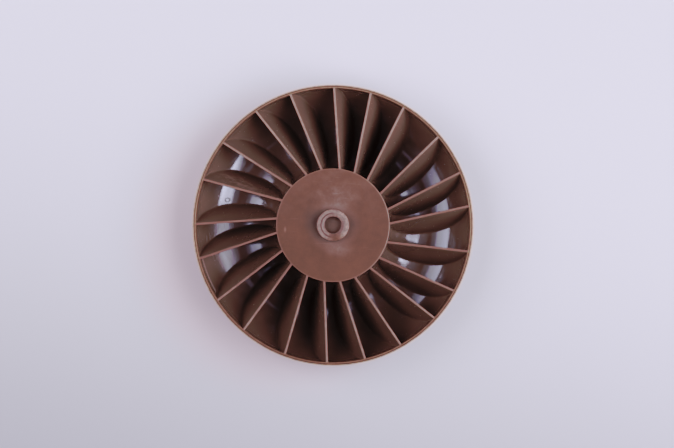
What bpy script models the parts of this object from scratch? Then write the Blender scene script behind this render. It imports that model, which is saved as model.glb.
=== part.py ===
"""Impeller of a small regenerative (side channel) blower.

The impeller lies on its back with the vanes facing up: Z is the shaft axis,
the flat back is at Z = 0 and the open face is FACE_HEIGHT above it.
The channel is a half torus between the hub disc and the outer rim, divided
by straight-topped vanes that lean and twist clockwise as they go down. The
vanes are unevenly spaced, which breaks up the tone that the blower makes.
The wheel is one moulding in reality; here each of its features is a closed
solid of its own, with a hairline gap to its neighbours.
Lengths are in metres and angles in degrees.
"""

import math

import bmesh
import bpy

# The wheel
OUTER_RADIUS = 0.085
WALL = 0.002
GAP = 0.0003
EDGE = 0.0003
RING_STEPS = 84
HUB_STEPS = 48

# The channel: a narrow flat floor between two quarter circles. The outer one starts
# at the mouth and the inner one under the edge of the hub disc.
CHANNEL_DEPTH = 0.0243
DISC_THICKNESS = 0.0026
FLOOR_OUTER_RADIUS = OUTER_RADIUS - WALL - CHANNEL_DEPTH
FLOOR_INNER_RADIUS = 0.0562
LAND_INNER_RADIUS = 0.0534
INNER_CURVE_RADIUS = CHANNEL_DEPTH - DISC_THICKNESS
HUB_RADIUS = FLOOR_INNER_RADIUS - INNER_CURVE_RADIUS
FACE_HEIGHT = CHANNEL_DEPTH + WALL

# Where the ring-shaped features of the channel meet, as angles down their curves
RIM_ANGLE = 7.0
FLOOR_ANGLE = 64.0
WALL_SEGMENTS = 6
FLOOR_SEGMENTS = 2

# The vanes: each lies beside a line through the axis. It leans and twists away from
# that line with depth, by slightly more near its root than near its top.
VANE_TOP_THICKNESS = 0.0012
VANE_SHOULDER_THICKNESS = 0.0016
VANE_ROOT_THICKNESS = 0.0022
VANE_OFFSET = 0.0064
VANE_LEAN = 0.18
VANE_TWIST_PER_METRE = 212.0
VANE_BEND = 0.07
VANE_ROWS = 8
VANE_AZIMUTHS = (
    -4.0, 11.5, 26.5, 45.5, 63.0, 77.5, 96.5,
    114.0, 128.0, 146.0, 162.0, 178.0, 196.0, 216.0,
    232.5, 251.5, 266.0, 285.0, 302.5, 321.5, 337.5,
)

# The hub
BOSS_RADIUS = 0.0097
BOSS_HEIGHT = 0.005
BOSS_BORE_RADIUS = 0.005
BOSS_MOUTH_RADIUS = 0.0067
BOSS_MOUTH_DEPTH = 0.0012
BOSS_EDGE = 0.0008
CORE_RADIUS = 0.012
SHAFT_BORE_RADIUS = 0.0055
SHAFT_BORE_DEPTH = 0.019
SHAFT_CHAMFER = 0.0008

# Colours as linear RGB
CHANNEL_BROWN = (0.085, 0.036, 0.026)
FACE_BROWN = (0.170, 0.070, 0.052)
BOSS_BROWN = (0.230, 0.105, 0.085)


def clear_scene():
    """Remove every object, so that the script can be run again."""
    for item in list(bpy.data.objects):
        bpy.data.objects.remove(item, do_unlink=True)


def new_collection(name):
    """Return a fresh collection linked to the scene."""
    found = bpy.data.collections.get(name)
    if found is not None:
        bpy.data.collections.remove(found)
    collection = bpy.data.collections.new(name)
    bpy.context.scene.collection.children.link(collection)
    return collection


def plastic(name, colour, roughness):
    """Return a plain plastic material."""
    material = bpy.data.materials.new(name)
    material.use_nodes = True
    shader = material.node_tree.nodes["Principled BSDF"]
    shader.inputs["Base Color"].default_value = (*colour, 1.0)
    shader.inputs["Roughness"].default_value = roughness
    shader.inputs["Metallic"].default_value = 0.0
    material.diffuse_color = (*colour, 1.0)
    return material


def place(name, mesh, parent, collection, material):
    """Make an object of the mesh, with its own material, and hang it on the axis."""
    item = bpy.data.objects.new(name, mesh)
    item.parent = parent
    collection.objects.link(item)
    if not mesh.materials:
        mesh.materials.append(material)
    item.material_slots[0].link = "OBJECT"
    item.material_slots[0].material = material
    return item


def turned(name, profile, steps, material, parent, collection):
    """Turn a profile of (radius, height) pairs round the Z axis.

    The profile runs down the outer side. It is closed into a ring unless it
    starts and ends on the axis.
    """
    mesh = bpy.data.meshes.new(name)
    outline = bmesh.new()
    points = [outline.verts.new((radius, 0.0, height)) for radius, height in profile]
    for first, second in zip(points, points[1:]):
        outline.edges.new((first, second))
    if profile[0][0] > 0.0:
        outline.edges.new((points[-1], points[0]))
    outline.to_mesh(mesh)
    outline.free()
    item = place(name, mesh, parent, collection, material)
    screw = item.modifiers.new("Turn", "SCREW")
    screw.axis = "Z"
    screw.angle = math.tau
    screw.steps = steps
    screw.render_steps = steps
    screw.use_merge_vertices = True
    screw.merge_threshold = 0.00001
    screw.use_smooth_shade = True
    return item


def outer_curve(angle, offset):
    """Point of the channel's outer quarter circle, at an angle down from the mouth."""
    turn = math.radians(angle)
    radius = FLOOR_OUTER_RADIUS + (CHANNEL_DEPTH + offset) * math.cos(turn)
    return radius, FACE_HEIGHT - (CHANNEL_DEPTH + offset) * math.sin(turn)


def inner_curve(angle, offset):
    """Point of the channel's inner quarter circle, at an angle down from the disc."""
    turn = math.radians(angle)
    radius = FLOOR_INNER_RADIUS - (INNER_CURVE_RADIUS + offset) * math.cos(turn)
    height = FACE_HEIGHT - DISC_THICKNESS - (INNER_CURVE_RADIUS + offset) * math.sin(turn)
    return radius, height


def along(curve, start, end, segments, offset):
    """Points of a curve from one angle to another."""
    step = (end - start) / segments
    return [curve(start + step * index, offset) for index in range(segments + 1)]


def gap_angle(radius):
    """The angle that a hairline gap takes up on a curve of this radius."""
    return math.degrees(math.asin(GAP / radius))


def rim_profile():
    """The machined land round the mouth of the channel, and the wall just below it."""
    inner_top = OUTER_RADIUS - WALL
    inner_low, low = outer_curve(RIM_ANGLE, 0.0)
    return [
        (OUTER_RADIUS - EDGE, FACE_HEIGHT),
        (OUTER_RADIUS, FACE_HEIGHT - EDGE),
        (OUTER_RADIUS, low),
        (inner_low, low),
        (inner_top, FACE_HEIGHT - EDGE),
        (inner_top + EDGE, FACE_HEIGHT),
    ]


def outer_wall_profile():
    """The outer side of the channel, from under the rim to the floor."""
    start = RIM_ANGLE + gap_angle(CHANNEL_DEPTH)
    end = FLOOR_ANGLE
    outside = along(outer_curve, start, end, WALL_SEGMENTS, WALL)
    inside = along(outer_curve, end, start, WALL_SEGMENTS, 0.0)
    return outside + inside


def floor_profile():
    """The bottom of the channel, whose flat underside is what the wheel stands on."""
    outer_start = FLOOR_ANGLE + gap_angle(CHANNEL_DEPTH)
    inner_start = FLOOR_ANGLE + gap_angle(INNER_CURVE_RADIUS)
    inner_step = (90.0 - inner_start) / FLOOR_SEGMENTS
    underside = along(outer_curve, outer_start, 90.0, FLOOR_SEGMENTS, WALL)
    underside.append((LAND_INNER_RADIUS, 0.0))
    underside += along(inner_curve, 90.0 - inner_step, inner_start, FLOOR_SEGMENTS - 1, WALL)
    topside = along(inner_curve, inner_start, 90.0, FLOOR_SEGMENTS, 0.0)
    topside += along(outer_curve, 90.0, outer_start, FLOOR_SEGMENTS, 0.0)
    return underside + topside


def inner_wall_profile():
    """The hub side of the channel, which the hub disc sits on."""
    end = FLOOR_ANGLE
    start = gap_angle(INNER_CURVE_RADIUS)
    hidden_start = gap_angle(INNER_CURVE_RADIUS + WALL)
    outside = along(inner_curve, start, end, WALL_SEGMENTS, 0.0)
    inside = along(inner_curve, end, hidden_start, WALL_SEGMENTS, WALL)
    return outside + inside


def disc_profile():
    """The flat hub disc, closed across the axis."""
    bottom = FACE_HEIGHT - DISC_THICKNESS
    return [
        (0.0, FACE_HEIGHT),
        (HUB_RADIUS - EDGE, FACE_HEIGHT),
        (HUB_RADIUS, FACE_HEIGHT - EDGE),
        (HUB_RADIUS, bottom),
        (0.0, bottom),
    ]


def boss_profile():
    """The raised ring at the middle of the disc, round a plain blind recess."""
    base = FACE_HEIGHT + GAP
    top = FACE_HEIGHT + BOSS_HEIGHT
    return [
        (BOSS_RADIUS - BOSS_EDGE, top),
        (BOSS_RADIUS, top - BOSS_EDGE),
        (BOSS_RADIUS, base),
        (BOSS_BORE_RADIUS, base),
        (BOSS_BORE_RADIUS, top - BOSS_MOUTH_DEPTH),
        (BOSS_MOUTH_RADIUS, top),
    ]


def core_profile():
    """The hub behind the disc, with the blind bore for the shaft."""
    top = FACE_HEIGHT - DISC_THICKNESS - GAP
    return [
        (0.0, top),
        (CORE_RADIUS, top),
        (CORE_RADIUS, EDGE),
        (CORE_RADIUS - EDGE, 0.0),
        (SHAFT_BORE_RADIUS + SHAFT_CHAMFER, 0.0),
        (SHAFT_BORE_RADIUS, SHAFT_CHAMFER),
        (SHAFT_BORE_RADIUS, SHAFT_BORE_DEPTH),
        (0.0, SHAFT_BORE_DEPTH),
    ]


def vane_end(end, depth):
    """Radius of the vane's end at the hub (-1) or at the rim (1), at a depth."""
    if end > 0.0:
        reach = CHANNEL_DEPTH - GAP
        return FLOOR_OUTER_RADIUS + math.sqrt(max(0.0, reach**2 - depth**2))
    reach = INNER_CURVE_RADIUS - GAP
    below = max(0.0, depth - DISC_THICKNESS)
    return FLOOR_INNER_RADIUS - math.sqrt(max(0.0, reach**2 - below**2))


def vane_point(side, end, row):
    """Place one corner of the vane.

    side is -1 or 1 for the two faces, end is -1 at the hub and 1 at the rim,
    and row runs from 0.0 at the top edge to 1.0 at the channel floor.
    """
    depth = (CHANNEL_DEPTH - GAP) * math.sin(math.pi / 2.0 * row)
    share = depth / CHANNEL_DEPTH
    thickness = VANE_TOP_THICKNESS
    if row > 0.0:
        taper = VANE_ROOT_THICKNESS - VANE_SHOULDER_THICKNESS
        thickness = VANE_SHOULDER_THICKNESS + taper * share
    bent = depth * (1.0 - VANE_BEND * (1.0 - share**2))
    radius = vane_end(end, depth)
    across = VANE_OFFSET + VANE_LEAN * bent + side * thickness / 2.0
    out = math.sqrt(radius**2 - across**2)
    turn = math.radians(VANE_TWIST_PER_METRE) * bent
    x = across * math.cos(turn) + out * math.sin(turn)
    y = out * math.cos(turn) - across * math.sin(turn)
    return x, y, FACE_HEIGHT - depth


def vane_mesh(name):
    """One vane for the azimuth 0: a flat strip, thickened and then bent to the channel.

    The first row is only as deep as the rounding of the top edge.
    """
    body = bmesh.new()
    bmesh.ops.create_grid(body, x_segments=1, y_segments=VANE_ROWS, size=1.0)
    sheet = bmesh.ops.extrude_face_region(body, geom=list(body.faces))
    lifted = [item for item in sheet["geom"] if isinstance(item, bmesh.types.BMVert)]
    bmesh.ops.translate(body, vec=(0.0, 0.0, 1.0), verts=lifted)
    edge_row = EDGE / (CHANNEL_DEPTH * math.pi / 2.0)
    for vert in body.verts:
        row = round((1.0 - vert.co.y) / 2.0 * VANE_ROWS)
        share = 0.0
        if row > 0:
            share = edge_row + (1.0 - edge_row) * (row - 1) / (VANE_ROWS - 1)
        side = 1.0 if vert.co.z > 0.5 else -1.0
        end = 1.0 if vert.co.x > 0.0 else -1.0
        vert.co = vane_point(side, end, share)
    bmesh.ops.recalc_face_normals(body, faces=body.faces)
    mesh = bpy.data.meshes.new(name)
    body.to_mesh(mesh)
    body.free()
    return mesh


def build():
    """Model the impeller."""
    clear_scene()
    collection = new_collection("blower_impeller")
    axis = bpy.data.objects.new("shaft_axis", None)
    axis.empty_display_size = OUTER_RADIUS / 2.0
    collection.objects.link(axis)

    rings = (
        ("outer_rim", rim_profile(), RING_STEPS, FACE_BROWN, 0.45),
        ("outer_channel_wall", outer_wall_profile(), RING_STEPS, CHANNEL_BROWN, 0.25),
        ("channel_floor", floor_profile(), RING_STEPS, CHANNEL_BROWN, 0.25),
        ("inner_channel_wall", inner_wall_profile(), RING_STEPS, CHANNEL_BROWN, 0.25),
        ("hub_disc", disc_profile(), RING_STEPS, FACE_BROWN, 0.55),
        ("front_boss", boss_profile(), HUB_STEPS, BOSS_BROWN, 0.4),
        ("hub_core", core_profile(), HUB_STEPS, CHANNEL_BROWN, 0.35),
    )
    for name, profile, steps, colour, roughness in rings:
        material = plastic(name + "_plastic", colour, roughness)
        turned(name, profile, steps, material, axis, collection)

    mesh = vane_mesh("vane")
    for index, azimuth in enumerate(VANE_AZIMUTHS):
        name = f"vane_{index + 1:02d}"
        material = plastic(name + "_plastic", CHANNEL_BROWN, 0.3)
        vane = place(name, mesh, axis, collection, material)
        vane.rotation_euler = (0.0, 0.0, -math.radians(azimuth))


build()
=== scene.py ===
"""Finish of a regenerative blower's impeller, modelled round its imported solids.

Z is the shaft axis and the vanes face up. Azimuths are in degrees, clockwise
from +Y as seen from above. Lengths are in metres.
"""

import math
from typing import NamedTuple

import bmesh
import bpy
from bpy.props import FloatProperty, FloatVectorProperty, IntProperty, PointerProperty
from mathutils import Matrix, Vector


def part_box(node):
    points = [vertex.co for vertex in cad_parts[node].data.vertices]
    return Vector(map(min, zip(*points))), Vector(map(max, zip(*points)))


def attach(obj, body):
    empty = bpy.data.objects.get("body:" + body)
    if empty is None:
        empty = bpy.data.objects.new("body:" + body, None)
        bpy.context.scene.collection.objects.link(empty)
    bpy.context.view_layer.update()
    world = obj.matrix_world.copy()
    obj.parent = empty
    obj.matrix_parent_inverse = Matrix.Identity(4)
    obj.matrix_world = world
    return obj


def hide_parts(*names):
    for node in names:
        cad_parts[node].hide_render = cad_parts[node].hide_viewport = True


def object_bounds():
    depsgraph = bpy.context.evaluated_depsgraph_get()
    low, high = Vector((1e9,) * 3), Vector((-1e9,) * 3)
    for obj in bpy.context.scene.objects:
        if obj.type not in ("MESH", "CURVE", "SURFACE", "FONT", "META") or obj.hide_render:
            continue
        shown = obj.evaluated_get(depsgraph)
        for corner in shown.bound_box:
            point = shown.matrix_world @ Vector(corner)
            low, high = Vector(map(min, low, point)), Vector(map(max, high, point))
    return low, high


bl_info = {
    "name": "Blower Impeller",
    "version": (1, 0, 0),
    "blender": (4, 5, 0),
    "location": "3D View > Sidebar > Impeller",
    "description": "Models the channel, the vanes and the hub of a regenerative blower's impeller",
    "category": "Add Mesh",
}

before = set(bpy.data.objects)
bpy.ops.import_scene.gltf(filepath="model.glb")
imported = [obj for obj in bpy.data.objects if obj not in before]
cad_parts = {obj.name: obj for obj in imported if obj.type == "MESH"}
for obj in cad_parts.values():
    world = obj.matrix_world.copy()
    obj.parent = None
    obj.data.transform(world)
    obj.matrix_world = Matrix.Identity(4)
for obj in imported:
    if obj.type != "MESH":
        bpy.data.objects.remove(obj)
cad_low, cad_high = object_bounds()
rim_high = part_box("outer_rim")[1]
disc_low, disc_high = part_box("hub_disc")
boss_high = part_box("front_boss")[1]
core_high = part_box("hub_core")[1]

# The vanes' top edges, as azimuths of the lines that they run beside
VANE_AZIMUTHS = (
    -4.0, 11.5, 26.5, 45.5, 63.0, 77.5, 96.5,
    114.0, 128.0, 146.0, 162.0, 178.0, 196.0, 216.0,
    232.5, 251.5, 266.0, 285.0, 302.5, 321.5, 337.5,
)

# The space between two pieces that meet
HAIRLINE = 0.00002

# Segments round the channel's curves
WALL_BACK_SEGMENTS = 24
WALL_FACE_SEGMENTS = 48
RIM_SEGMENTS = 8
DISC_RINGS = 8
CORNER_SEGMENTS = 5
SHARP_ANGLE = math.radians(32.0)

# Roundings and chamfers of the turned pieces
RIM_ROUNDING = 0.00025
RIM_SLOPE = 0.0012
DISC_ROUNDING = 0.0005
BOSS_ROUNDING = 0.0009
RECESS_CHAMFER = 0.0012
RECESS_ROUNDING = 0.0002
CORE_ROUNDING = 0.0005
BORE_CHAMFER = 0.0008
BORE_ROUNDING = 0.0001

# The grid of a vane: rows over the rounding of its top edge, as shares of the rounding,
# then rows down to the root; columns close together at each end, as shares of its length
TOP_ROWS = (0.0, 0.08, 0.22, 0.42, 0.7, 1.0)
SIDE_ROWS = 36
END_COLUMNS = (0.0, 0.002, 0.005, 0.009, 0.014, 0.02, 0.028, 0.04, 0.06, 0.09, 0.13, 0.18, 0.24)
MIDDLE_COLUMNS = (0.32, 0.41, 0.5, 0.59, 0.68)

# How far a vane reaches into the channel's wall, the share of its fillet at the top edge,
# the depth over which the rest is added, and the share of the rounding that is machined
VANE_SUNK = 0.0001
TOP_FILLET_SHARE = 0.25
FILLET_GROWTH = 0.006
MACHINED_SHARE = 0.25


class Mark(NamedTuple):
    """An elliptical mark in a place of its own, and how strongly it shows."""

    x: float
    y: float
    length: float
    width: float
    turn: float = 0.0
    strength: float = 1.0


SCUFF = Mark(x=-0.0575, y=0.0262, length=0.0180, width=0.0046, turn=-0.36, strength=0.42)
DULL_PATCH = Mark(x=-0.0680, y=-0.0100, length=0.0150, width=0.0260, strength=0.16)
STAIN = Mark(x=-0.0652, y=0.0156, length=0.0017, width=0.0013, turn=0.3, strength=0.5)
HALO_ABOVE = Mark(x=0.0020, y=0.0165, length=0.0190, width=0.0120, strength=0.14)
HALO_BELOW = Mark(x=0.0040, y=-0.0140, length=0.0120, width=0.0075, strength=0.15)
# Painted shadows that the boss casts on the disc, deeper on the left, away from the stronger right
# light
PAINTED_SHADOW_LEFT = Mark(x=-0.0125, y=0.0032, length=0.0085, width=0.0100, strength=0.22)
PAINTED_SHADOW_RIGHT = Mark(x=0.0130, y=0.0010, length=0.0070, width=0.0080, strength=0.12)
DISC_SPOT = Mark(x=-0.0290, y=-0.0026, length=0.0011, width=0.0026, strength=0.3)
BOSS_DULL = Mark(x=0.0020, y=-0.0080, length=0.0080, width=0.0050, strength=0.85)
# Painted light on the floor: warm bounce light just beside the rim, and a brown reflection of the
# wheel
PAINTED_BOUNCE_RING = Mark(x=0.0, y=0.0, length=0.085, width=0.085, strength=0.45)
REFLECTION = Mark(x=-0.030, y=-0.010, length=0.105, width=0.105)

# A painted highlight line on the channel's wall: its radius, its half width up to where it has
# faded, and the stretch of y and the height at which it shows
HIGHLIGHT_LINE_RADIUS = 0.0820
HIGHLIGHT_LINE_WIDTH = (0.00012, 0.0004)
HIGHLIGHT_LINE_START = (-0.0440, -0.0430)
HIGHLIGHT_LINE_END = (-0.0200, -0.0180)
HIGHLIGHT_LINE_LEFT = (0.06, 0.07)
HIGHLIGHT_LINE_HEIGHT = (0.016, 0.018)

# Directions in which the disc is scratched, and how rare the scratches are
SCRATCHES = ((0.5, 0.7), (-1.1, 0.72), (1.9, 0.74))
SCRATCH_STRETCH = (60.0, 1400.0, 60.0)

# The grey veil: where it hangs, how its edge slants, and where it sets in below the wheel,
# ends further down and ends at the sides
VEIL_HEIGHT = 0.16
VEIL_REACH = 1.5
VEIL_SLANT = 0.25
VEIL_NEAR = (-0.22, 0.04)
VEIL_FAR = (-1.40, -0.60)
VEIL_SIDES = (0.50, 1.30)

# The floor's distance below the wheel and its reach, and the segments of a flat sheet
FLOOR_GAP = 0.0001
FLOOR_REACH = 6.0
SHEET_SEGMENTS = 24

# The camera: how far to the right of and above the axis it stands in the picture,
# the width of its sensor in millimetres, and the distances between which it sees
CAMERA_OFFSET = (0.00246, 0.00074)
SENSOR_WIDTH = 36.0
CLIP_START = 0.05
CLIP_END = 20.0

# The soft lights: name, azimuth and share of their power
SOFT_LIGHTS = (("left", 276.0, 0.42), ("right", 96.0, 0.58))
SOFT_ZENITH = 45.0

# The dim gleams from above: name, azimuth, zenith angle and share of their power
OVERHEADS = (("left", 264.0, 15.5, 0.50), ("right", 88.0, 13.0, 0.50))
OVERHEAD_DISTANCE = 1.13
OVERHEAD_WIDTH = 0.42
OVERHEAD_HEIGHT = 0.30


class Gleam(NamedTuple):
    """A side light that shows only as a gleam, and how it fades.

    Its brightness rises downwards in two steps, between the shares of its height in
    upper and in lower. It ends at its reach to either side, more or less softly. The
    flare widens that reach downwards, and the lean moves it to one side.
    """

    name: str
    azimuth: float
    width: float
    share: float
    lean: float
    reach: float
    flare: float
    softness: float
    upper: tuple
    upper_share: float
    lower: tuple


GLEAMS = (
    Gleam(
        "left", azimuth=274.5, width=1.26, share=0.325,
        lean=0.0, reach=0.285, flare=1.45, softness=1.0,
        upper=(0.04, 0.28), upper_share=0.60, lower=(0.30, 0.70),
    ),
    Gleam(
        "right", azimuth=111.7, width=0.70, share=0.455,
        lean=0.22, reach=0.165, flare=2.1, softness=0.55,
        upper=(0.09, 0.20), upper_share=0.60, lower=(0.46, 0.74),
    ),
    Gleam(
        "far_right", azimuth=72.0, width=0.50, share=0.085,
        lean=0.0, reach=0.18, flare=1.17, softness=0.35,
        upper=(0.30, 0.40), upper_share=0.10, lower=(0.40, 0.54),
    ),
    Gleam(
        "band", azimuth=86.0, width=0.50, share=0.065,
        lean=0.0, reach=0.36, flare=1.17, softness=0.45,
        upper=(0.02, 0.16), upper_share=0.95, lower=(0.60, 0.70),
    ),
)
GLEAM_ZENITH = 42.0
GLEAM_LOWER_EDGE = (0.75, 0.93)

# How much brighter the air is at the right, and how bright it is from below
AIR_RIGHT = 0.34
AIR_BELOW = 0.19

# How bright full light is shown, and the points of the tone curve below it
WHITE_SHOWN = 0.883
TONES = (
    (0.004, 0.0034), (0.012, 0.0093), (0.035, 0.061), (0.06, 0.1235), (0.1, 0.2413),
    (0.18, 0.3455), (0.3, 0.4722), (0.6, 0.677),
)


def length(name, description, default):
    """A property that holds a length."""
    return FloatProperty(name=name, description=description, default=default, unit="LENGTH")


def swatch(name, description, default):
    """A property that holds a colour."""
    return FloatVectorProperty(
        name=name, description=description, default=default, subtype="COLOR", min=0.0, max=1.0
    )


class ImpellerSizes(bpy.types.PropertyGroup):
    """Sizes of the wheel."""

    outer_radius: length("Outer Radius", "Radius of the rim", rim_high.x)
    face_height: length("Face Height", "Height of the vaned face above the back", rim_high.z)
    wall: length("Wall", "Thickness of the moulded wall", 0.002)
    hub_radius: length("Hub Radius", "Radius of the hub disc", disc_high.x)
    rim_depth: length("Rim Depth", "Depth of the rim's own band", 0.003)
    disc_thickness: length(
        "Disc Thickness", "Thickness of the hub disc", disc_high.z - disc_low.z
    )
    vane_thickness: length(
        "Vane Thickness", "Thickness of a vane just below its top edge", 0.0015
    )
    vane_root: length("Vane Root", "Thickness of a vane at the channel's floor", 0.0022)
    vane_offset: length("Vane Offset", "How far a vane's line passes from the shaft axis", 0.0064)
    vane_lean: FloatProperty(
        name="Vane Lean", description="Clockwise shift of a vane for each metre of depth",
        default=0.18,
    )
    vane_twist: FloatProperty(
        name="Vane Twist", description="Clockwise turn of a vane for each metre of depth",
        default=math.radians(212.0), unit="ROTATION",
    )
    vane_bend: FloatProperty(
        name="Vane Bend", description="Share of its lean and twist that a vane lacks near its top",
        default=0.07,
    )
    root_fillet: length("Root Fillet", "Radius where a vane meets the channel", 0.0008)
    top_rounding: length("Top Rounding", "Radius along a vane's top edge", 0.0005)
    boss_radius: length("Boss Radius", "Outer radius of the raised ring", boss_high.x)
    recess_radius: length("Recess Radius", "Radius of the blind recess", 0.005)
    mouth_radius: length("Mouth Radius", "Radius of the chamfer at the recess's mouth", 0.0067)
    shaft_radius: length("Shaft Radius", "Radius of the bore for the shaft", 0.0055)
    shaft_depth: length("Shaft Depth", "Depth of the bore for the shaft", 0.019)
    round_steps: IntProperty(
        name="Round Steps", description="Facets round a full turn", default=252, min=84
    )


class ImpellerColours(bpy.types.PropertyGroup):
    """Colours of the plastic and of the stage."""

    moulded: swatch("Moulded", "The glossy moulded surfaces", (0.120, 0.078, 0.059))
    faced: swatch("Faced", "The dull machined faces", (0.0805, 0.0407, 0.0236))
    skimmed: swatch("Skimmed", "The machined top edges of the vanes", (0.140, 0.071, 0.056))
    # Rubbed edges; also the colour of the painted highlights on the vane tops and on the edges of
    # the disc and the boss
    worn: swatch("Worn", "Edges rubbed light", (0.325, 0.190, 0.155))
    rubbed: swatch(
        "Rubbed", "The rim's two edges, rubbed to a warm tan", (0.450, 0.270, 0.175)
    )
    boss: swatch("Boss", "The raised ring", (0.152, 0.094, 0.081))
    # The colour of the painted shadows beside the boss
    painted_shadow: swatch("Grime", "Dark handling marks", (0.040, 0.030, 0.032))
    # Dust; also the colour of the painted sheen at the top of the disc and of the painted highlight
    # line in the channel
    dust: swatch("Dust", "Dust and scratches", (0.320, 0.236, 0.216))
    floor: swatch("Floor", "The pale floor", (0.770, 0.764, 0.862))
    # The colour of the painted warm bounce light on the floor beside the rim
    glow: swatch(
        "Glow", "The warm tinge of the floor beside the rim", (0.920, 0.730, 0.650)
    )
    blush: swatch("Blush", "The floor in the wheel's brown reflection", (0.890, 0.735, 0.815))


class StudioSettings(bpy.types.PropertyGroup):
    """Camera and light."""

    camera_height: length("Camera Height", "Height of the camera above the vaned face", 1.09)
    lens: FloatProperty(
        name="Lens", description="Focal length in millimetres", default=96.13, unit="CAMERA"
    )
    light_distance: length(
        "Light Distance", "Distance of the soft lights from the wheel", 2.0
    )
    light_width: length("Light Width", "Width of a soft light", 2.05)
    light_height: length("Light Height", "Height of a soft light", 1.63)
    light_power: FloatProperty(
        name="Light Power", description="Power of the soft lights together",
        default=56.0, unit="POWER",
    )
    gleam_distance: length(
        "Gleam Distance", "Distance of the side lights that show only as gleams", 0.9
    )
    gleam_height: length(
        "Gleam Height", "Height of a side light that shows only as a gleam", 0.945
    )
    gleam_power: FloatProperty(
        name="Gleam Power", description="Power of the side lights that show only as gleams",
        default=54.0, unit="POWER",
    )
    overhead_power: FloatProperty(
        name="Overhead Power", description="Power of the dim gleams from above",
        default=0.27, unit="POWER",
    )
    veil: FloatProperty(
        name="Veil", description="Share of the light that the grey veil stops at its thickest",
        default=0.66, min=0.0, max=1.0,
    )
    side_air: FloatProperty(
        name="Side Air", description="Brightness of the soft light from the two sides", default=0.46
    )
    light_colour: swatch("Light Colour", "Tint of the light", (0.90, 0.87, 1.0))
    gleam_colour: swatch("Gleam Colour", "Tint of the gleams", (0.65, 0.67, 1.0))


def sizes():
    """The scene's sizes of the wheel."""
    return bpy.context.scene.impeller_sizes


def colours():
    """The scene's colours of the wheel and the stage."""
    return bpy.context.scene.impeller_colours


# Shaders


class Value:
    """A shader socket that Python's operators work on."""

    def __init__(self, paint, socket):
        self.paint = paint
        self.socket = socket

    def _math(self, operation, *operands):
        values = dict(enumerate(operands))
        return self.paint.node("ShaderNodeMath", {"operation": operation}, values)

    def __add__(self, other):
        return self._math("ADD", self, other)

    def __radd__(self, other):
        return self._math("ADD", other, self)

    def __sub__(self, other):
        return self._math("SUBTRACT", self, other)

    def __rsub__(self, other):
        return self._math("SUBTRACT", other, self)

    def __mul__(self, other):
        return self._math("MULTIPLY", self, other)

    def __rmul__(self, other):
        return self._math("MULTIPLY", other, self)

    def __truediv__(self, other):
        return self._math("DIVIDE", self, other)

    def __rtruediv__(self, other):
        return self._math("DIVIDE", other, self)

    def __pow__(self, other):
        return self._math("POWER", self, other)

    def __abs__(self):
        return self._math("ABSOLUTE", self)

    def __neg__(self):
        return self._math("MULTIPLY", self, -1.0)


class Nodes:
    """A shader's node tree, and the one way in which nodes are added to it."""

    def __init__(self, tree):
        self.nodes = tree.nodes
        self.links = tree.links

    def node(self, kind, settings=None, values=None, output=0):
        """Add a node: its settings first, then the values or links of its sockets."""
        made = self.nodes.new(kind)
        for setting, value in (settings or {}).items():
            setattr(made, setting, value)
        for socket, value in (values or {}).items():
            if isinstance(value, Value):
                self.links.new(value.socket, made.inputs[socket])
            else:
                made.inputs[socket].default_value = value
        return Value(self, made.outputs[output])

    def place(self):
        """The point on the object."""
        return self.node("ShaderNodeTexCoord", output="Object")

    def split(self, vector):
        """The three parts of a vector."""
        first = self.node("ShaderNodeSeparateXYZ", values={0: vector})
        outputs = first.socket.node.outputs
        return [Value(self, outputs[index]) for index in range(3)]

    def join(self, x, y, z):
        """A vector from three values."""
        return self.node("ShaderNodeCombineXYZ", values={0: x, 1: y, 2: z})

    def distance(self, x, y):
        """Distance of a flat point from the origin."""
        return self.node("ShaderNodeMath", {"operation": "SQRT"}, {0: x**2.0 + y**2.0})

    def patch(self, vector, mark):
        """Distance from a mark's middle, in its own reaches, and the point as seen from there."""
        values = {
            "Vector": vector, "Location": (mark.x, mark.y, 0.0),
            "Rotation": (0.0, 0.0, mark.turn), "Scale": (mark.length, mark.width, 1.0),
        }
        local = self.node("ShaderNodeMapping", {"vector_type": "TEXTURE"}, values)
        x, y, _ = self.split(local)
        return self.distance(x, y), local

    def step(self, value, low, high):
        """0 below low, 1 above high and a smooth rise between."""
        return self.node(
            "ShaderNodeMapRange", {"interpolation_type": "SMOOTHSTEP"}, {0: value, 1: low, 2: high}
        )

    def fall(self, value, low, high):
        """1 below low, 0 above high and a smooth fall between."""
        return 1.0 - self.step(value, low, high)

    def noise(self, vector, scale, detail, roughness):
        """Noise from 0 to 1."""
        values = {"Vector": vector, "Scale": scale, "Detail": detail, "Roughness": roughness}
        return self.node("ShaderNodeTexNoise", values=values)

    def spread(self, value, low, high):
        """A value from 0 to 1, moved to lie from low to high."""
        return value * (high - low) + low

    def mix(self, share, first, second):
        """One colour over another."""
        settings = {"data_type": "RGBA", "blend_type": "MIX"}
        return self.node("ShaderNodeMix", settings, {0: share, 6: first, 7: second}, output=2)

    def tint(self, colour, share):
        """A colour made darker or lighter by a value round 1."""
        settings = {"operation": "SCALE"}
        plain = colour if isinstance(colour, Value) else colour[:3]
        return self.node("ShaderNodeVectorMath", settings, {0: plain, "Scale": share})

    def bump(self, height, distance, strength, normal=None):
        """Relief from a height in units of distance."""
        values = {"Height": height, "Distance": distance, "Strength": strength}
        if normal is not None:
            values["Normal"] = normal
        return self.node("ShaderNodeBump", values=values)


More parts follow.
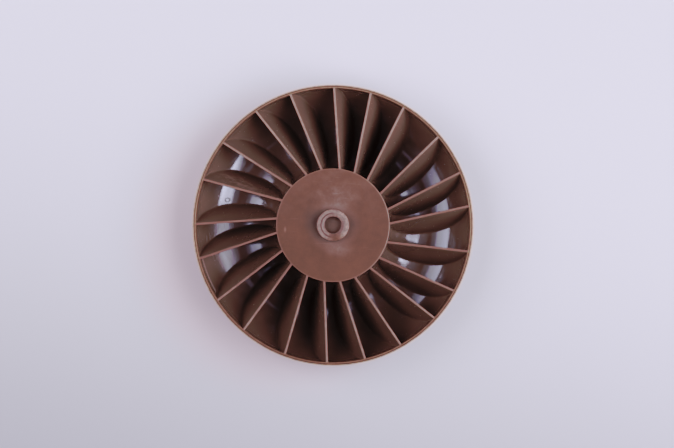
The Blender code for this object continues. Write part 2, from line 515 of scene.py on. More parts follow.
class Paint(Nodes):
    """One material."""

    def __init__(self, name, roughness, **constants):
        self.material = bpy.data.materials.new(name)
        self.material.use_nodes = True
        super().__init__(self.material.node_tree)
        self.shader = self.nodes["Principled BSDF"]
        self.shader.inputs["Roughness"].default_value = roughness
        for socket, value in constants.items():
            self.shader.inputs[socket.replace("_", " ")].default_value = value

    def finish(self, colour, roughness=None, normal=None):
        """Link what varies to the shader."""
        varying = (("Base Color", colour), ("Roughness", roughness), ("Normal", normal))
        for socket, value in varying:
            if value is not None:
                self.links.new(value.socket, self.shader.inputs[socket])
        return self.material


def rgba(colour):
    """A colour with its alpha."""
    return (colour[0], colour[1], colour[2], 1.0)


class MouldedPaint(Paint):
    """Glossy moulded plastic, with a slight ripple and specks of dust."""

    def __init__(self, name):
        super().__init__(name, 0.1, IOR=1.6, Specular_IOR_Level=0.6)
        shades = colours()
        self.at = self.place()
        cloud = self.noise(self.at, scale=28.0, detail=3.0, roughness=0.55)
        flow = self.noise(self.at, scale=120.0, detail=4.0, roughness=0.6)
        specks = self.step(self.noise(self.at, scale=900.0, detail=1.0, roughness=0.4), 0.75, 0.79)
        shade = self.spread(cloud, 0.85, 1.15) * self.spread(flow, 0.92, 1.08)
        clean = self.tint(rgba(shades.moulded), shade)
        self.colour = self.mix(specks * 0.22, clean, rgba(shades.dust))
        self.roughness = (
            self.spread(cloud, 0.07, 0.13) + self.spread(flow, -0.015, 0.015) + specks * 0.2
        )
        ripple = self.noise(self.at, scale=210.0, detail=2.0, roughness=0.5)
        peel = self.noise(self.at, scale=1500.0, detail=1.0, roughness=0.5)
        self.normal = self.bump(ripple, distance=0.00003, strength=0.6)
        self.normal = self.bump(peel, distance=0.000003, strength=0.6, normal=self.normal)

    def done(self):
        """Link the colour, the roughness and the relief."""
        return self.finish(self.colour, self.roughness, self.normal)


def vane_gloss(name):
    """The vanes' moulded plastic, with a scuffed patch."""
    paint = MouldedPaint(name)
    away, local = paint.patch(paint.at, SCUFF)
    streaks = paint.step(paint.noise(local, scale=2.6, detail=4.0, roughness=0.65), 0.38, 0.68)
    scuff = paint.fall(away, 0.3, 1.1) * streaks
    paint.colour = paint.mix(scuff * SCUFF.strength, paint.colour, rgba(colours().worn))
    paint.roughness = paint.roughness + scuff * 0.06
    return paint.done()


def channel_gloss(name):
    """The channel's moulded plastic, with drawing marks, a dull patch, a stain and a painted
    highlight line.
    """
    paint = MouldedPaint(name)
    wall = sizes().wall
    x, y, z = paint.split(paint.at)
    radius = paint.distance(x, y)
    turn = paint.node("ShaderNodeMath", {"operation": "ARCTAN2"}, {0: x, 1: y})
    drawn = paint.join(radius * 650.0, turn * 5.0, z * 650.0)
    draw = paint.noise(drawn, scale=1.0, detail=3.0, roughness=0.6)
    paint.normal = paint.bump(draw, distance=0.00001, strength=0.8, normal=paint.normal)
    away, _ = paint.patch(paint.at, DULL_PATCH)
    dull = paint.fall(away, 0.5, 1.0) * DULL_PATCH.strength
    paint.roughness = paint.roughness + paint.step(draw, 0.45, 0.75) * 0.06 + dull

    away, _ = paint.patch(paint.at, STAIN)
    stain = paint.step(away, 0.45, 0.8) * paint.fall(away, 0.9, 1.25)
    stain = stain * paint.step(z, wall + 0.0002, wall + 0.0006)
    paint.colour = paint.tint(paint.colour, 1.0 - stain * STAIN.strength)
    paint.roughness = paint.roughness + stain * 0.35

    # A painted highlight: a thin light line along the wall at the lower left
    painted_highlight_line = paint.fall(abs(radius - HIGHLIGHT_LINE_RADIUS), *HIGHLIGHT_LINE_WIDTH) * paint.step(-x, *HIGHLIGHT_LINE_LEFT)
    painted_highlight_line = painted_highlight_line * paint.step(y, *HIGHLIGHT_LINE_START) * paint.fall(y, *HIGHLIGHT_LINE_END)
    painted_highlight_line = painted_highlight_line * paint.step(z, *HIGHLIGHT_LINE_HEIGHT)
    paint.colour = paint.mix(painted_highlight_line * 0.6, paint.colour, rgba(colours().dust))
    return paint.done()


class FacedPaint(Paint):
    """Machined plastic, dull with fine turning marks round the axis."""

    def __init__(self, name, gloss=0.25):
        super().__init__(name, 0.55, IOR=1.45, Specular_IOR_Level=gloss)
        self.at = self.place()
        self.x, self.y, self.z = self.split(self.at)
        self.radius = self.distance(self.x, self.y)
        self.cloud = self.noise(self.at, scale=45.0, detail=3.0, roughness=0.6)
        self.mottle = self.noise(self.at, scale=260.0, detail=3.0, roughness=0.6)
        self.grain = self.noise(self.at, scale=1300.0, detail=2.0, roughness=0.6)
        marks = self.join(self.radius * 2600.0, self.cloud * 0.6, 0.0)
        self.marks = self.noise(marks, scale=1.0, detail=3.0, roughness=0.6)

    def base(self, colour):
        """The plain tone of a machined face."""
        shade = self.spread(self.cloud, 0.80, 1.20) * self.spread(self.mottle, 0.86, 1.14)
        shade = shade * self.spread(self.grain, 0.88, 1.12) * self.spread(self.marks, 0.92, 1.08)
        return self.tint(rgba(colour), shade)

    def ring(self, centre, width):
        """1 near a radius and 0 beyond the width."""
        return self.fall(abs(self.radius - centre), width * 0.3, width)

    def spot(self, mark):
        """A mark's strength at its middle and 0 beyond its ellipse."""
        away, _ = self.patch(self.at, mark)
        return self.fall(away, 0.0, 1.0) * mark.strength

    def scratches(self, turn, threshold):
        """Thin scratches that run one way."""
        values = {"Vector": self.at, "Rotation": (0.0, 0.0, turn), "Scale": SCRATCH_STRETCH}
        turned_place = self.node("ShaderNodeMapping", values=values)
        lines = self.noise(turned_place, scale=1.0, detail=2.0, roughness=0.5)
        return self.step(lines, threshold, threshold + 0.06)

    def done(self, colour):
        """Link the colour, with the roughness and the relief of a machined face."""
        roughness = self.spread(self.cloud, 0.5, 0.64) + self.spread(self.grain, -0.05, 0.05)
        normal = self.bump(self.marks, distance=0.00001, strength=0.6)
        normal = self.bump(self.grain, distance=0.00001, strength=0.5, normal=normal)
        return self.finish(colour, roughness, normal)


def disc_faced(name):
    """The hub disc, with a dusty halo and painted shadows round the boss, a painted sheen at the
    top, painted light below and in the recess, scratches and a light edge with a painted highlight
    on the right.
    """
    paint = FacedPaint(name)
    shades = colours()
    size = sizes()
    tone = paint.base(shades.faced)
    open_face = paint.step(paint.radius, size.boss_radius, size.boss_radius + 0.0005)
    haze = paint.step(paint.noise(paint.at, scale=150.0, detail=3.0, roughness=0.65), 0.35, 0.75)
    halo = (paint.spot(HALO_ABOVE) + paint.spot(HALO_BELOW)) * paint.spread(haze, 0.3, 1.4)
    # A painted sheen: the disc lighter towards the top, from light falling from that side
    painted_top_sheen = paint.step(paint.y, -0.01, 0.034) * haze * 0.06
    around = paint.fall(paint.radius, size.boss_radius, size.boss_radius * 1.9) * 0.10
    tone = paint.mix((halo + painted_top_sheen + around) * open_face, tone, rgba(shades.dust))
    # Painted shadows of the boss, left and right of it, where it blocks the side lights
    painted_boss_shadow = paint.spot(PAINTED_SHADOW_LEFT) + paint.spot(PAINTED_SHADOW_RIGHT)
    tone = paint.mix(painted_boss_shadow * open_face, tone, rgba(shades.painted_shadow))

    recess = 1.0 - open_face
    tone = paint.mix(recess * 0.1, tone, rgba(shades.dust))
    # Painted light and shade in the recess: its floor darker at the left and lighter towards the
    # right
    right = paint.step(paint.x, -0.002, 0.004)
    tone = paint.tint(tone, recess * paint.spread(right, -0.1, 0.14) + 1.0)
    # Painted light: the disc lighter towards the bottom, where light comes up from the floor
    tone = paint.tint(tone, paint.step(-paint.y, 0.0, 0.030) * 0.09 + 1.0)

    first, second, third = (paint.scratches(turn, rarity) for turn, rarity in SCRATCHES)
    lines = first + second + third
    tone = paint.mix(lines * 0.15 * open_face, tone, rgba(shades.dust))
    tone = paint.mix(paint.spot(DISC_SPOT), tone, rgba(shades.worn))
    edge = paint.ring(size.hub_radius - 0.0004, 0.0004) * paint.spread(paint.mottle, 0.5, 1.1)
    # Painted highlight: the light edge is stronger on the right, where the rounding faces the
    # stronger light
    edge = edge * paint.spread(paint.step(paint.x, 0.010, 0.034), 0.25, 0.7)
    return paint.done(paint.mix(edge, tone, rgba(shades.worn)))


def tops_faced(name):
    """The vanes' machined top edges, rubbed light in places, with painted highlights that make them
    lighter towards the top and the bottom of the wheel.
    """
    paint = FacedPaint(name, gloss=0.1)
    tone = paint.base(colours().skimmed)
    # Painted highlights: edges that run towards the side lights, at the top and the bottom of the
    # wheel, get more of the light colour
    far = paint.spread(paint.step(abs(paint.y), 0.02, 0.06), 0.2, 1.1)
    rub_and_highlight = paint.noise(paint.at, scale=400.0, detail=3.0, roughness=0.6) * far
    return paint.done(paint.mix(rub_and_highlight, tone, rgba(colours().worn)))


def rim_faced(name):
    """The rim, with its two edges rubbed to tan, a dark line between them, and painted highlights
    that make it lighter at its left and right sides.
    """
    paint = FacedPaint(name)
    shades = colours()
    size = sizes()
    land = paint.step(paint.z, size.face_height - 0.0006, size.face_height - 0.0001)
    tone = paint.mix(0.12, paint.base(shades.faced), paint.base(shades.skimmed))
    groove = paint.ring(size.outer_radius - size.wall * 0.4, 0.0004)
    tone = paint.tint(tone, 1.0 - groove * paint.spread(paint.mottle, 0.2, 0.6))
    inner = paint.ring(size.outer_radius - size.wall * 0.75, 0.0004)
    outer = paint.ring(size.outer_radius - size.wall * 0.05, 0.0006)
    chips = paint.step(paint.noise(paint.at, scale=420.0, detail=3.0, roughness=0.7), 0.3, 0.62)
    edges = (inner * 0.30 + outer) * paint.spread(chips, 0.3, 1.0) * land
    tone = paint.mix(edges, tone, rgba(shades.rubbed))
    # Painted highlights: the rim lighter at the left and the right, where its edges face the side
    # lights
    tone = paint.tint(tone, paint.step(abs(paint.x), 0.076, 0.085) * 0.3 + 1.0)
    return paint.done(tone)


def boss_faced(name):
    """The raised ring, rubbed light on its outer edge and round the recess, with a painted
    highlight on the outer edge at the right, dull below, and a painted shadow line inside the top
    of the recess.
    """
    paint = FacedPaint(name, gloss=0.1)
    shades = colours()
    size = sizes()
    tone = paint.base(shades.boss)
    speckle = paint.step(paint.noise(paint.at, scale=520.0, detail=4.0, roughness=0.75), 0.40, 0.62)
    # Painted highlight: the outer edge is made lighter towards the right, where it faces the
    # stronger light
    right = paint.step(paint.x, 0.001, 0.009)
    outer = paint.ring(size.boss_radius - 0.0010, 0.0014) * paint.spread(right, 0.70, 2.1)
    upper_left = paint.step(paint.y - paint.x, -0.006, 0.001)
    inner = paint.ring(size.mouth_radius - 0.0004, 0.0013) * upper_left
    rub_and_highlight = outer + inner * 0.6 + 0.22
    wear = paint.noise(paint.at, scale=240.0, detail=2.0, roughness=0.5)
    rub_and_highlight = rub_and_highlight * paint.spread(wear, 0.4, 1.6)
    tone = paint.mix(rub_and_highlight * paint.spread(speckle, 0.05, 0.6), tone, rgba(shades.worn))
    groove = paint.ring(size.mouth_radius + 0.0005, 0.0005) * paint.step(-paint.x, -0.003, 0.003)
    tone = paint.tint(tone, 1.0 - groove * paint.spread(paint.mottle, 0.3, 0.8))
    tone = paint.mix(paint.spot(BOSS_DULL), tone, paint.base(shades.faced))
    # Painted shadow: a dark line inside the top of the recess, where its wall is in shade
    lip = paint.ring(size.recess_radius, 0.0005) * paint.step(paint.y, -0.0005, 0.0025)
    return paint.done(paint.tint(tone, 1.0 - lip * 0.75))


def core_faced(name):
    """The hub behind the disc, with a light edge."""
    paint = FacedPaint(name)
    tone = paint.base(colours().moulded)
    edge = paint.ring(core_high.x - 0.0002, 0.0004) * paint.spread(paint.mottle, 0.4, 1.0)
    return paint.done(paint.mix(edge * 0.7, tone, rgba(colours().worn)))


def pale_floor(name):
    """A plain, pale floor, with painted warm bounce light close to the rim and a painted brown
    reflection of the wheel round it.
    """
    paint = Paint(name, 0.9, Specular_IOR_Level=0.1)
    place = paint.place()
    cloud = paint.noise(place, scale=3.0, detail=2.0, roughness=0.5)
    tone = paint.tint(rgba(colours().floor), paint.spread(cloud, 0.99, 1.01))
    away, _ = paint.patch(place, REFLECTION)
    tone = paint.mix(paint.fall(away, 0.62, 1.0), tone, rgba(colours().blush))
    # Painted warm bounce light in a ring beside the rim
    away, _ = paint.patch(place, PAINTED_BOUNCE_RING)
    glow = paint.fall(away, 1.025, 1.042) * PAINTED_BOUNCE_RING.strength
    return paint.finish(paint.mix(glow, tone, rgba(colours().glow)))


def grey_veil(name, share):
    """A fine net that stops part of the light, most of it below and left of the wheel."""
    paint = Paint(name, 1.0)
    x, y, _ = paint.split(paint.place())
    slanted = y + x * VEIL_SLANT
    near = paint.fall(slanted, *VEIL_NEAR)
    far = paint.step(slanted, *VEIL_FAR) * paint.fall(abs(x), *VEIL_SIDES)
    paint.shader.inputs["Base Color"].default_value = (0.0, 0.0, 0.0, 1.0)
    clear = paint.node("ShaderNodeBsdfTransparent")
    black = Value(paint, paint.shader.outputs[0])
    woven = paint.node("ShaderNodeMixShader", values={0: near * far * share, 1: clear, 2: black})
    paint.links.new(woven.socket, paint.nodes["Material Output"].inputs["Surface"])
    return paint.material


# Shapes


def corner(before, point, after, radius):
    """Points of an arc that rounds a profile's corner."""
    start = Vector(point) + (Vector(before) - Vector(point)).normalized() * radius
    end = Vector(point) + (Vector(after) - Vector(point)).normalized() * radius
    points = []
    for index in range(CORNER_SEGMENTS + 1):
        share = index / CORNER_SEGMENTS
        first = start.lerp(Vector(point), share)
        second = Vector(point).lerp(end, share)
        points.append(tuple(first.lerp(second, share)))
    return points


def rounded(profile):
    """Round the corners of an open profile of (radius, height, rounding) points."""
    points = []
    for index, (radius, height, rounding) in enumerate(profile):
        if rounding > 0.0:
            before, after = profile[index - 1][:2], profile[index + 1][:2]
            points += corner(before, (radius, height), after, rounding)
        else:
            points.append((radius, height))
    return points


def show(name, body, slot, nodes, *materials):
    """Make a finished object of a bmesh, on the wheel's body."""
    mesh = bpy.data.meshes.new(name)
    body.to_mesh(mesh)
    body.free()
    mesh.shade_smooth()
    mesh.set_sharp_from_angle(angle=SHARP_ANGLE)
    for material in materials:
        mesh.materials.append(material)
    piece = bpy.data.objects.new(name, mesh)
    bpy.context.scene.collection.objects.link(piece)
    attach(piece, "root")
    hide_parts(*nodes)


def turned(profile, closed):
    """Spin a profile of (radius, height) pairs round the Z axis into a closed shape."""
    body = bmesh.new()
    points = [body.verts.new((radius, 0.0, height)) for radius, height in profile]
    for first, second in zip(points, points[1:]):
        body.edges.new((first, second))
    if closed:
        body.edges.new((points[-1], points[0]))
    bmesh.ops.spin(
        body, geom=body.verts[:] + body.edges[:], cent=(0.0, 0.0, 0.0), axis=(0.0, 0.0, 1.0),
        angle=math.tau, steps=sizes().round_steps, use_merge=True,
    )
    bmesh.ops.remove_doubles(body, verts=body.verts, dist=1e-6)
    bmesh.ops.recalc_face_normals(body, faces=body.faces)
    return body


class Channel:
    """The channel's sides: an outer quarter circle, and an inner one below the hub disc."""

    def __init__(self, size):
        self.face = size.face_height
        self.depth = size.face_height - size.wall
        self.lip = size.disc_thickness
        self.inner_reach = self.depth - self.lip
        self.outer_centre = size.outer_radius - size.wall - self.depth
        self.inner_centre = size.hub_radius + self.inner_reach

    def outer(self, angle, offset=0.0):
        """Point of the outer side, at an angle down from the mouth."""
        reach = self.depth + offset
        return self.outer_centre + reach * math.cos(angle), self.face - reach * math.sin(angle)

    def inner(self, angle, offset=0.0):
        """Point of the inner side, at an angle down from the disc."""
        reach = self.inner_reach + offset
        height = self.face - self.lip - reach * math.sin(angle)
        return self.inner_centre - reach * math.cos(angle), height

    def outer_angle(self, depth, offset=0.0):
        """Angle at which the outer side is as deep as this."""
        return math.asin(min(1.0, depth / (self.depth + offset)))

    def inner_angle(self, depth, offset=0.0):
        """Angle at which the inner side is as deep as this."""
        below = max(0.0, depth - self.lip)
        return math.asin(min(1.0, below / (self.inner_reach + offset)))

    def ends(self, depth, offset=0.0):
        """Radii of the inner and the outer side at a depth."""
        inner = self.inner(self.inner_angle(depth, offset), offset)[0]
        return inner, self.outer(self.outer_angle(depth, offset), offset)[0]

    def clearance(self, radius, depth):
        """Distance of a point in the channel from the channel's surface."""
        if radius > self.outer_centre:
            return self.depth - math.hypot(radius - self.outer_centre, depth)
        if radius >= self.inner_centre:
            return self.depth - depth
        if depth > self.lip:
            return self.inner_reach - math.hypot(self.inner_centre - radius, depth - self.lip)
        return radius - self.inner_centre + self.inner_reach


def along(curve, start, end, segments, offset=0.0):
    """Points of a curve from one angle to another."""
    step = (end - start) / segments
    return [curve(start + step * index, offset) for index in range(segments + 1)]


class IMPELLER_OT_channel_shell(bpy.types.Operator):
    """Add the half-torus channel, with its outer wall, floor and inner wall"""

    bl_idname = "impeller.channel_shell"
    bl_label = "Channel Shell"

    def execute(self, context):
        size = sizes()
        channel = Channel(size)
        bottom = math.pi / 2.0
        rim_base = size.rim_depth + HAIRLINE
        disc_base = size.disc_thickness + HAIRLINE
        outer_end = channel.outer_angle(rim_base, size.wall)
        inner_end = channel.inner_angle(disc_base, size.wall)
        profile = along(channel.outer, outer_end, bottom, WALL_BACK_SEGMENTS, size.wall)
        profile += along(channel.inner, bottom, inner_end, WALL_BACK_SEGMENTS, size.wall)
        inner_end = channel.inner_angle(disc_base)
        outer_end = channel.outer_angle(rim_base)
        profile += along(channel.inner, inner_end, bottom, WALL_FACE_SEGMENTS)
        profile += along(channel.outer, bottom, outer_end, WALL_FACE_SEGMENTS)
        show(
            "channel_shell", turned(profile, True), "moulded_channel",
            ("outer_channel_wall", "channel_floor", "inner_channel_wall"),
            channel_gloss("channel_gloss"),
        )
        return {"FINISHED"}


class IMPELLER_OT_rim_land(bpy.types.Operator):
    """Add the machined rim round the mouth of the channel"""

    bl_idname = "impeller.rim_land"
    bl_label = "Rim Land"

    def execute(self, context):
        size = sizes()
        channel = Channel(size)
        face = size.face_height
        base_angle = channel.outer_angle(size.rim_depth)
        mouth_angle = channel.outer_angle(RIM_ROUNDING)
        inner_low, low = channel.outer(base_angle)
        outer_low = channel.ends(size.rim_depth, size.wall)[1]
        inner_edge = (size.outer_radius - size.wall, face)
        outer_edge = (size.outer_radius, face)
        profile = corner(inner_edge, outer_edge, (size.outer_radius, low), RIM_ROUNDING)
        profile += [(size.outer_radius, low + RIM_SLOPE), (outer_low, low), (inner_low, low)]
        profile += along(channel.outer, base_angle, mouth_angle, RIM_SEGMENTS)[1:]
        profile += corner((inner_edge[0], low), inner_edge, outer_edge, RIM_ROUNDING)[1:]
        show(
            "rim_land", turned(profile, True), "machined_face", ("outer_rim",),
            rim_faced("rim_faced"),
        )
        return {"FINISHED"}


class IMPELLER_OT_hub_disc(bpy.types.Operator):
    """Add the flat hub disc"""

    bl_idname = "impeller.hub_disc"
    bl_label = "Hub Disc"

    def execute(self, context):
        size = sizes()
        face = size.face_height
        low = face - size.disc_thickness
        edge, base = (size.hub_radius, face), (size.hub_radius, low)
        profile = [(size.hub_radius * index / DISC_RINGS, face) for index in range(DISC_RINGS)]
        profile += corner((0.0, face), edge, base, DISC_ROUNDING)
        profile += [base, (0.0, low)]
        show(
            "hub_disc_faced", turned(profile, False), "machined_face", ("hub_disc",),
            disc_faced("disc_faced"),
        )
        return {"FINISHED"}


class IMPELLER_OT_boss(bpy.types.Operator):
    """Add the raised ring with its chamfered recess"""

    bl_idname = "impeller.boss"
    bl_label = "Boss"

    def execute(self, context):
        size = sizes()
        top = boss_high.z
        base = size.face_height + HAIRLINE
        profile = rounded(
            [
                (size.boss_radius, base, 0.0),
                (size.boss_radius, top, BOSS_ROUNDING),
                (size.mouth_radius, top, RECESS_ROUNDING),
                (size.recess_radius, top - RECESS_CHAMFER, RECESS_ROUNDING),
                (size.recess_radius, base, 0.0),
            ]
        )
        show(
            "boss_ring", turned(profile, True), "boss_face", ("front_boss",),
            boss_faced("boss_faced"),
        )
        return {"FINISHED"}


class IMPELLER_OT_hub_core(bpy.types.Operator):
    """Add the hub behind the disc, with its shaft bore"""

    bl_idname = "impeller.hub_core"
    bl_label = "Hub Core"

    def execute(self, context):
        size = sizes()
        top = size.face_height - size.disc_thickness - HAIRLINE
        profile = rounded(
            [
                (0.0, top, 0.0),
                (core_high.x, top, 0.0),
                (core_high.x, 0.0, CORE_ROUNDING),
                (size.shaft_radius + BORE_CHAMFER, 0.0, BORE_ROUNDING),
                (size.shaft_radius, BORE_CHAMFER, BORE_ROUNDING),
                (size.shaft_radius, size.shaft_depth, 0.0),
                (0.0, size.shaft_depth, 0.0),
            ]
        )
        show(
            "hub_core_bored", turned(profile, False), "moulded_channel", ("hub_core",),
            core_faced("core_faced"),
        )
        return {"FINISHED"}


class VaneForm:
    """The leaning and twisted shape of one vane, over a grid of rows and columns."""

    def __init__(self, size):
        self.size = size
        self.channel = Channel(size)
        rounding = size.top_rounding
        full = self.channel.depth + VANE_SUNK
        start = math.asin(rounding / full)
        self.depths = [rounding * share for share in TOP_ROWS]
        for index in range(1, SIDE_ROWS + 1):
            turn = start + (math.pi / 2.0 - start) * index / SIDE_ROWS
            self.depths.append(full * math.sin(turn))
        far_end = tuple(1.0 - share for share in reversed(END_COLUMNS))
        self.shares = END_COLUMNS + MIDDLE_COLUMNS + far_end

    def half_thickness(self, radius, depth):
        """Half the vane's thickness, rounded at the top and flared at the root."""
        size = self.size
        draft = (size.vane_root - size.vane_thickness) * depth / self.channel.depth
        half = (size.vane_thickness + draft) / 2.0
        rounding = size.top_rounding
        if depth < rounding:
            half -= rounding - math.sqrt(rounding**2 - (rounding - depth) ** 2)
        fillet = size.root_fillet * min(1.0, TOP_FILLET_SHARE + depth / FILLET_GROWTH)
        near = max(0.0, self.channel.clearance(radius, depth))
        if near < fillet:
            half += fillet - math.sqrt(fillet**2 - (fillet - near) ** 2)
        return half

    def point(self, azimuth, side, column, row):
        """Place one point of a vane's face."""
        size = self.size
        depth = self.depths[row]
        inner, outer = self.channel.ends(depth, VANE_SUNK)
        radius = inner + (outer - inner) * self.shares[column]
        bent = depth * (1.0 - size.vane_bend * (1.0 - (depth / self.channel.depth) ** 2))
        across = size.vane_offset + size.vane_lean * bent
        across += side * self.half_thickness(radius, depth)
        out = math.sqrt(radius**2 - across**2)
        turn = math.radians(azimuth) + size.vane_twist * bent
        x = across * math.cos(turn) + out * math.sin(turn)
        y = out * math.cos(turn) - across * math.sin(turn)
        return Vector((x, y, size.face_height - depth))


class IMPELLER_OT_vanes(bpy.types.Operator):
    """Add the straight-topped, leaning and twisted vanes"""

    bl_idname = "impeller.vanes"
    bl_label = "Vanes"

    def execute(self, context):
        form = VaneForm(sizes())
        columns = len(form.shares) - 1
        rows = len(form.depths) - 1
        gloss = vane_gloss("vane_gloss")
        tops = tops_faced("vane_tops_faced")
        machined_above = form.size.face_height - form.size.top_rounding * MACHINED_SHARE
        for index, azimuth in enumerate(VANE_AZIMUTHS):
            body = bmesh.new()
            bmesh.ops.create_grid(body, x_segments=columns, y_segments=rows, size=1.0)
            sheet = bmesh.ops.extrude_face_region(body, geom=body.faces[:])
            lifted = [item for item in sheet["geom"] if isinstance(item, bmesh.types.BMVert)]
            bmesh.ops.translate(body, vec=(0.0, 0.0, 1.0), verts=lifted)
            for vert in body.verts:
                column = round((vert.co.x + 1.0) / 2.0 * columns)
                row = round((1.0 - vert.co.y) / 2.0 * rows)
                side = 1.0 if vert.co.z > 0.5 else -1.0
                vert.co = form.point(azimuth, side, column, row)
            for face in body.faces:
                face.material_index = int(face.calc_center_median().z > machined_above)
            bmesh.ops.recalc_face_normals(body, faces=body.faces)
            node = f"vane_{index + 1:02d}"
            show(node + "_twisted", body, "moulded_channel", (node,), gloss, tops)
        return {"FINISHED"}


class IMPELLER_OT_stage(bpy.types.Operator):
    """Add the floor, the grey veil, the lights and the camera"""

    bl_idname = "impeller.stage"
    bl_label = "Stage"

    def soft_light(self, name, azimuth, zenith, distance, width, height, power, glossy):
        """Hang a light that faces the wheel: a glossy one only gleams, and the others never do."""
        studio = bpy.context.scene.impeller_studio
        data = bpy.data.lights.new(name, "AREA")
        data.shape = "RECTANGLE"
        data.size = width
        data.size_y = height
        data.energy = power
        data.color = studio.gleam_colour if glossy else studio.light_colour
        light = bpy.data.objects.new(name, data)
        turn, tilt = math.radians(azimuth), math.radians(zenith)
        away = Vector(
            (math.sin(turn) * math.sin(tilt), math.cos(turn) * math.sin(tilt), math.cos(tilt))
        )
        light.location = away * distance + Vector((0.0, 0.0, sizes().face_height))
        light.rotation_euler = away.to_track_quat("Z", "Y").to_euler()
        light.visible_glossy = glossy
        light.visible_diffuse = not glossy
        light.visible_camera = False
        bpy.context.scene.collection.objects.link(light)
        return light

    def feather(self, light, gleam):
        """Fade a gleam's light at its sides and its lower edge, and towards its upper edge."""
        light.data.use_nodes = True
        glow = Nodes(light.data.node_tree)
        across, up, _ = glow.split(glow.node("ShaderNodeNewGeometry", output="Parametric"))
        down = 1.0 - up
        level = glow.step(down, *gleam.upper) * gleam.upper_share
        level = level + glow.step(down, *gleam.lower) * (1.0 - gleam.upper_share)
        level = level * glow.fall(down, *GLEAM_LOWER_EDGE)
        below_middle = down - 0.5
        reach = (below_middle * gleam.flare + 1.0) * gleam.reach
        aside = abs(across - 0.5 + below_middle * gleam.lean) / reach
        level = level * glow.fall(aside, 1.0 - gleam.softness, 1.0 + gleam.softness)
        glow.links.new(level.socket, glow.nodes["Emission"].inputs["Strength"])

    def lights(self, studio):
        """Hang a soft light on each side, the side lights' gleams and two dim ones overhead."""
        distance, width, height = studio.light_distance, studio.light_width, studio.light_height
        for name, azimuth, share in SOFT_LIGHTS:
            self.soft_light(
                name + "_light", azimuth, SOFT_ZENITH, distance, width, height,
                studio.light_power * share, False,
            )
        for gleam in GLEAMS:
            light = self.soft_light(
                gleam.name + "_gleam", gleam.azimuth, GLEAM_ZENITH, studio.gleam_distance,
                gleam.width, studio.gleam_height, studio.gleam_power * gleam.share, True,
            )
            self.feather(light, gleam)
        for name, azimuth, zenith, share in OVERHEADS:
            self.soft_light(
                name + "_overhead", azimuth, zenith, OVERHEAD_DISTANCE, OVERHEAD_WIDTH,
                OVERHEAD_HEIGHT, studio.overhead_power * share, True,
            )

    def air(self, scene):
        """Fill the air with soft light, most of it from the right, which never gleams."""
        studio = scene.impeller_studio
        world = bpy.data.worlds.new("studio_air")
        scene.world = world
        world.use_nodes = True
        world.cycles_visibility.glossy = False
        air = Nodes(world.node_tree)
        across, up, _ = air.split(air.node("ShaderNodeTexCoord", output="Generated"))
        level = abs(across) + across * AIR_RIGHT + (abs(up) - up) * AIR_BELOW
        light = air.tint(rgba(studio.light_colour), level * studio.side_air)
        air.links.new(light.socket, air.nodes["Background"].inputs["Color"])

    def tones(self, view):
        """Give the picture a photograph's contrast: deep darks and soft highlights."""
        view.view_transform = "Standard"
        view.use_curve_mapping = True
        mapping = view.curve_mapping
        points = mapping.curves[3].points
        points[-1].location = (1.0, WHITE_SHOWN)
        for light, shown in TONES:
            points.new(light, shown)
        mapping.update()

    def sheet(self, name, height, reach, material):
        """Lay a flat sheet that isn't part of the wheel."""
        body = bmesh.new()
        bmesh.ops.create_grid(
            body, x_segments=SHEET_SEGMENTS, y_segments=SHEET_SEGMENTS, size=reach
        )
        bmesh.ops.translate(body, vec=(0.0, 0.0, height), verts=body.verts)
        mesh = bpy.data.meshes.new(name)
        body.to_mesh(mesh)
        body.free()
        mesh.materials.append(material)
        sheet = bpy.data.objects.new(name, mesh)
        bpy.context.scene.collection.objects.link(sheet)
        return sheet

    def camera(self, scene):
        """Stand the camera straight above the wheel, looking down."""
        studio = scene.impeller_studio
        data = bpy.data.cameras.new("photo_camera")
        data.sensor_width = SENSOR_WIDTH
        data.lens = studio.lens
        data.clip_start = CLIP_START
        data.clip_end = CLIP_END
        camera = bpy.data.objects.new("photo_camera", data)
        camera.location = (*CAMERA_OFFSET, sizes().face_height + studio.camera_height)
        scene.collection.objects.link(camera)
        scene.camera = camera

    def execute(self, context):
        scene = context.scene
        studio = scene.impeller_studio
        self.sheet("pale_floor", cad_low.z - FLOOR_GAP, FLOOR_REACH, pale_floor("floor_pale"))
        net = grey_veil("veil_net", studio.veil)
        self.sheet("grey_veil", VEIL_HEIGHT, VEIL_REACH, net).visible_camera = False
        self.lights(studio)
        self.air(scene)
        self.camera(scene)
        self.tones(scene.view_settings)
        return {"FINISHED"}


class IMPELLER_PT_panel(bpy.types.Panel):
    """Sizes, colours and pieces of the impeller"""

    bl_idname = "IMPELLER_PT_panel"
    bl_label = "Blower Impeller"
    bl_space_type = "VIEW_3D"
    bl_region_type = "UI"
    bl_category = "Impeller"

    def draw(self, context):
        layout = self.layout
        for title, group in (
            ("Sizes", context.scene.impeller_sizes),
            ("Colours", context.scene.impeller_colours),
            ("Studio", context.scene.impeller_studio),
        ):
            box = layout.box()
            box.label(text=title)
            for name in group.__annotations__:
                box.prop(group, name)
        column = layout.column(align=True)
        for operator in OPERATORS:
            column.operator(operator.bl_idname)


OPERATORS = (
    IMPELLER_OT_channel_shell,
    IMPELLER_OT_rim_land,
    IMPELLER_OT_vanes,
    IMPELLER_OT_hub_disc,
    IMPELLER_OT_boss,
    IMPELLER_OT_hub_core,
    IMPELLER_OT_stage,
)
CLASSES = (ImpellerSizes, ImpellerColours, StudioSettings, *OPERATORS, IMPELLER_PT_panel)


def register():
    for item in CLASSES:
        bpy.utils.register_class(item)
    bpy.types.Scene.impeller_sizes = PointerProperty(type=ImpellerSizes)
    bpy.types.Scene.impeller_colours = PointerProperty(type=ImpellerColours)
    bpy.types.Scene.impeller_studio = PointerProperty(type=StudioSettings)


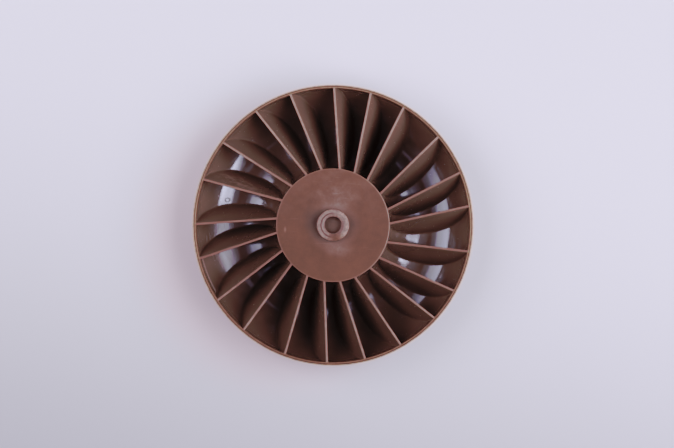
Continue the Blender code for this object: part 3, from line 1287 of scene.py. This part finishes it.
def unregister():
    del bpy.types.Scene.impeller_studio
    del bpy.types.Scene.impeller_colours
    del bpy.types.Scene.impeller_sizes
    for item in reversed(CLASSES):
        bpy.utils.unregister_class(item)


def main():
    """Make every piece."""
    register()
    bpy.ops.impeller.channel_shell()
    bpy.ops.impeller.rim_land()
    bpy.ops.impeller.vanes()
    bpy.ops.impeller.hub_disc()
    bpy.ops.impeller.boss()
    bpy.ops.impeller.hub_core()
    bpy.ops.impeller.stage()


if __name__ == "__main__":
    main()
